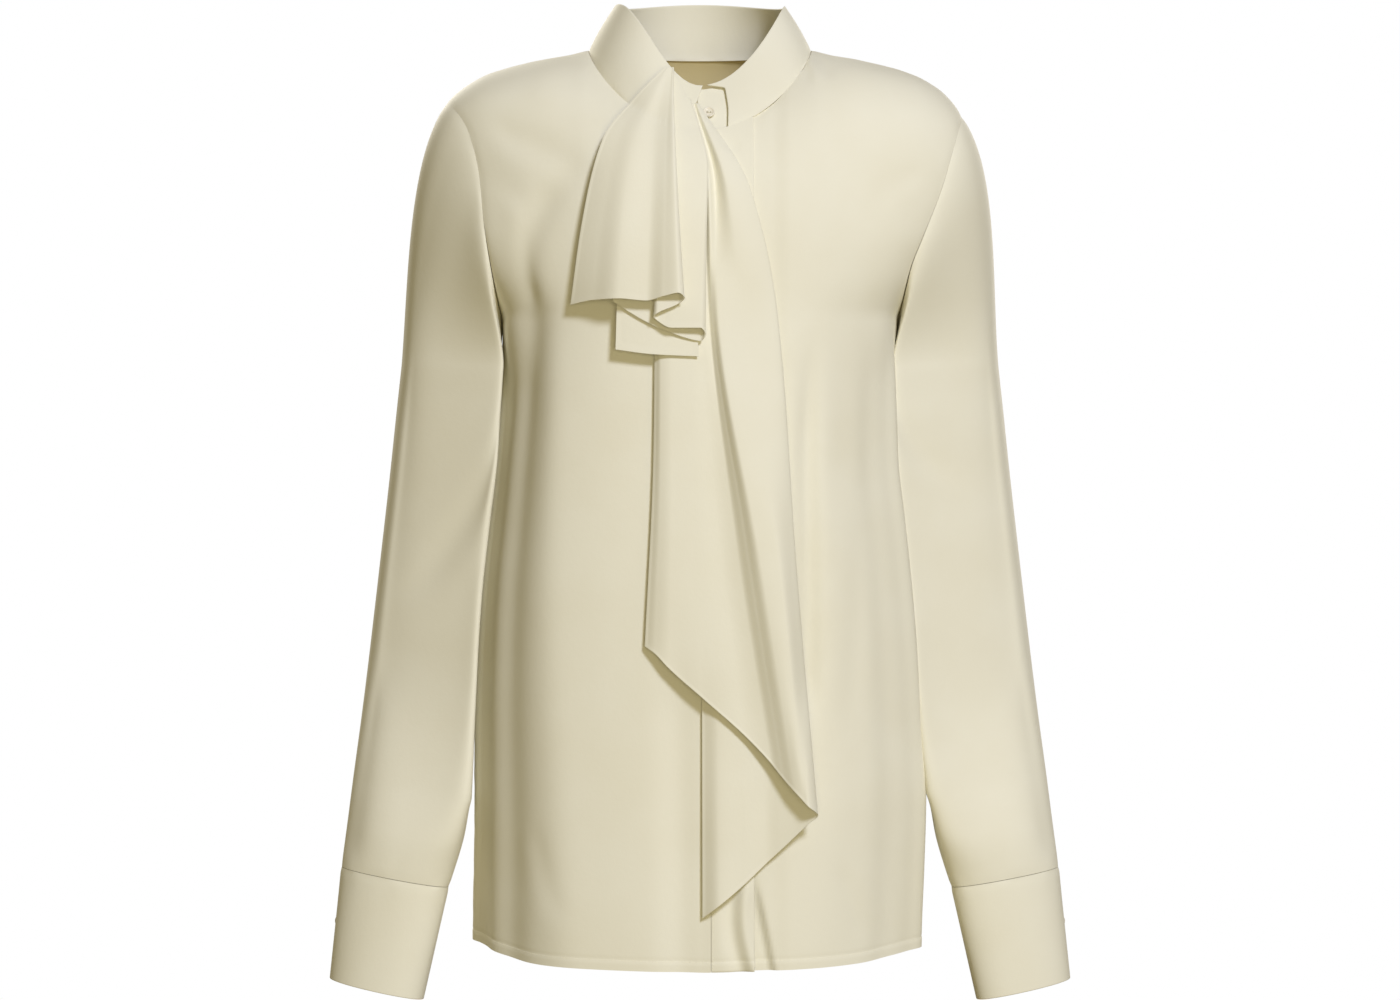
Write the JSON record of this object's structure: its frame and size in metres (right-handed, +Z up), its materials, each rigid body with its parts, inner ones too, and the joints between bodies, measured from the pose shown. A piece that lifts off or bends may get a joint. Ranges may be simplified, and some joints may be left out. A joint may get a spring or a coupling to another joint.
{
  "type": "blouse",
  "caption": "Long-sleeved silk blouse with a stand collar, a concealed button placket and a draped scarf front, filled out and hollow.",
  "frame": {"origin": "centre of the neck opening's base, level with the neck points of the shoulder seams, where the shoulders carry the blouse", "axes": "+Z up, the front faces -Y, +X towards the wearer's left side"},
  "size_m": [0.5452, 0.2532, 0.7398],
  "materials": {
    "silk": "matte crepe silk with a soft sheen, ivory",
    "button": "polished, ivory"
  },
  "bodies": {
    "root": {"front_right": "silk", "placket": "silk", "front_left": "silk", "back": "silk", "sleeve_right": "silk", "sleeve_left": "silk", "cuff_right": "silk", "cuff_left": "silk", "cuff_button_right": "button", "cuff_button_left": "button", "collar_band": "silk", "collar_tab": "silk", "collar_button": "button", "scarf_short": "silk", "scarf_short_under": "silk", "scarf_long": "silk"}
  },
  "joints": []
}
